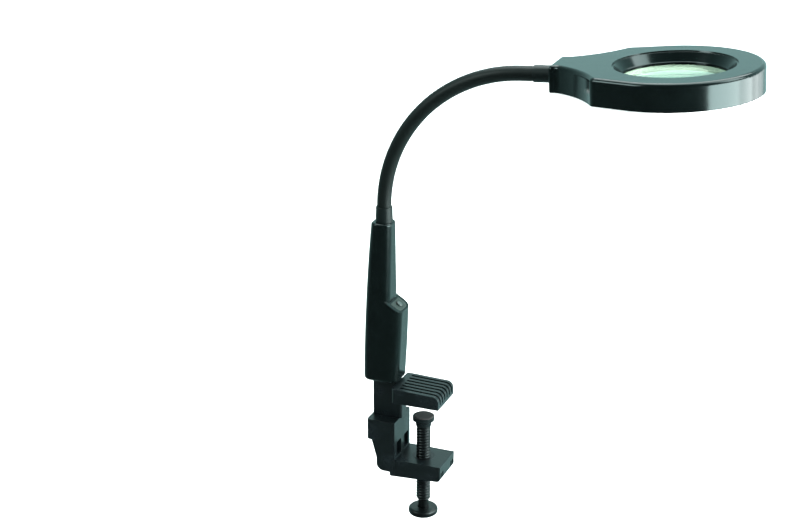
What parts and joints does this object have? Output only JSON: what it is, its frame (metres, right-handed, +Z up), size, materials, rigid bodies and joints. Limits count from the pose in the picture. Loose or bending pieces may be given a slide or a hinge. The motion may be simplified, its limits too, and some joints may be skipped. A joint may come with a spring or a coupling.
{
  "type": "magnifying lamp",
  "caption": "Clamp-on magnifying lamp: round lens in a ring-light head, on a bendable gooseneck over a swivelling handle and a screw desk clamp.",
  "frame": {"origin": "on the clamp screw's axis, in the plane of the rubber pad under the upper jaw, where the table top's upper face lies", "axes": "+Z up, +X from the handle towards the lens, +Y to the left of +X seen from above; the lamp is symmetric about Y = 0"},
  "size_m": [0.3571, 0.15, 0.4749],
  "materials": {
    "gloss_black": "polished injection-moulded ABS",
    "clamp_black": "satin glass-filled nylon",
    "screw_black": "moulded nylon, satin",
    "sleeve_black": "matte PVC sleeve",
    "ferrule_black": "semi-matte black paint",
    "neck_steel": "bare wound steel",
    "screw_steel": "zinc-plated steel",
    "bush_black": "black-oxide steel",
    "pad_rubber": "matte black rubber",
    "panel_green": "fine-textured dark green",
    "button_green": "satin dark green",
    "lens_clear": "polished optical acrylic with a faint green tint",
    "cover_white": "white satin ABS",
    "diffuser_white": "milky translucent acrylic",
    "board_white": "white solder mask",
    "board_green": "green solder mask",
    "led_amber": "phosphor-filled silicone",
    "cell_jacket": "printed film jacket",
    "holder_grey": "matte moulding"
  },
  "bodies": {
    "clamp": {"upper_jaw": "clamp_black", "jaw_pad": "pad_rubber", "lower_bracket": "clamp_black", "lower_jaw": "clamp_black", "thread_bush": "bush_black", "bracket_screws": "screw_steel", "lower_jaw_screws": "screw_steel", "swivel_grub_screw": "screw_steel"},
    "foot": {"pressure_foot": "clamp_black", "foot_rubber": "pad_rubber"},
    "screw": {"clamp_screw": "screw_black", "knob": "screw_black", "knob_screw": "screw_steel"},
    "handle": {"handle_front": "gloss_black", "handle_rear": "gloss_black", "battery_door": "gloss_black", "door_screw": "screw_steel", "battery_holder": "holder_grey", "batteries": "cell_jacket", "battery_contacts": "screw_steel", "swivel_spigot": "screw_steel", "swivel_washer": "screw_black", "switch_panel": "panel_green", "switch_body": "holder_grey", "driver_board": "board_green", "base_ferrule": "ferrule_black", "neck_core_0": "neck_steel", "neck_sleeve_0": "sleeve_black"},
    "switch": {"switch_button": "button_green"},
    "neck_1": {"neck_core_1": "neck_steel", "neck_sleeve_1": "sleeve_black"},
    "neck_2": {"neck_core_2": "neck_steel", "neck_sleeve_2": "sleeve_black"},
    "neck_3": {"neck_core_3": "neck_steel", "neck_sleeve_3": "sleeve_black"},
    "neck_4": {"neck_core_4": "neck_steel", "neck_sleeve_4": "sleeve_black"},
    "neck_5": {"neck_core_5": "neck_steel", "neck_sleeve_5": "sleeve_black"},
    "neck_6": {"neck_core_6": "neck_steel", "neck_sleeve_6": "sleeve_black"},
    "neck_7": {"neck_core_7": "neck_steel", "neck_sleeve_7": "sleeve_black"},
    "head": {"head_housing": "gloss_black", "lens_bezel": "gloss_black", "lens": "lens_clear", "lens_retainer": "holder_grey", "led_board": "board_white", "leds": "led_amber", "diffuser": "diffuser_white", "base_cover": "cover_white", "head_screws": "screw_steel", "head_ferrule": "ferrule_black", "neck_saddle": "holder_grey", "neck_core_8": "neck_steel", "neck_sleeve_8": "sleeve_black"}
  },
  "joints": [
    {"name": "swivel", "type": "hinge", "parent": "clamp", "child": "handle", "pos_m": [-0.0402, 0, 0.0156], "axis": [0, 0, 1], "range_deg": [-175, 175]},
    {"name": "switch_press", "type": "slide", "parent": "handle", "child": "switch", "axis": [-0.5299, 0, -0.848], "range_m": [0, 0.001], "stiffness_N_per_m": 900},
    {"name": "neck_bend_1", "type": "hinge", "parent": "handle", "child": "neck_1", "pos_m": [-0.03959, 0, 0.20215], "axis": [0, 1, 0], "range_deg": [-20, 20]},
    {"name": "neck_sway_2", "type": "hinge", "parent": "neck_1", "child": "neck_2", "pos_m": [-0.03475, 0, 0.2276], "axis": [0.9605, 0, -0.2782], "range_deg": [-20, 20]},
    {"name": "neck_bend_3", "type": "hinge", "parent": "neck_2", "child": "neck_3", "pos_m": [-0.02524, 0, 0.25169], "axis": [0, 1, 0], "range_deg": [-20, 20]},
    {"name": "neck_sway_4", "type": "hinge", "parent": "neck_3", "child": "neck_4", "pos_m": [-0.0114, 0, 0.27358], "axis": [0.7913, 0, -0.6115], "range_deg": [-20, 20]},
    {"name": "neck_bend_5", "type": "hinge", "parent": "neck_4", "child": "neck_5", "pos_m": [0.0063, 0, 0.2925], "axis": [0, 1, 0], "range_deg": [-20, 20]},
    {"name": "neck_sway_6", "type": "hinge", "parent": "neck_5", "child": "neck_6", "pos_m": [0.02721, 0, 0.30778], "axis": [0.5115, 0, -0.8593], "range_deg": [-20, 20]},
    {"name": "neck_bend_7", "type": "hinge", "parent": "neck_6", "child": "neck_7", "pos_m": [0.05061, 0, 0.31888], "axis": [0, 1, 0], "range_deg": [-20, 20]},
    {"name": "neck_sway_8", "type": "hinge", "parent": "neck_7", "child": "head", "pos_m": [0.07568, 0, 0.32542], "axis": [0.1603, 0, -0.9871], "range_deg": [-20, 20]},
    {"name": "foot_slide", "type": "slide", "parent": "clamp", "child": "foot", "axis": [0, 0, 1], "range_m": [-0.03, 0.015]},
    {"name": "screw_turn", "type": "hinge", "parent": "foot", "child": "screw", "pos_m": [0, 0, -0.06], "axis": [0, 0, 1], "range_deg": [-3610, 1810]}
  ],
  "couplings": [
    {"joint": "screw_turn", "follows": "foot_slide", "rad_per_m": 2094.4}
  ]
}
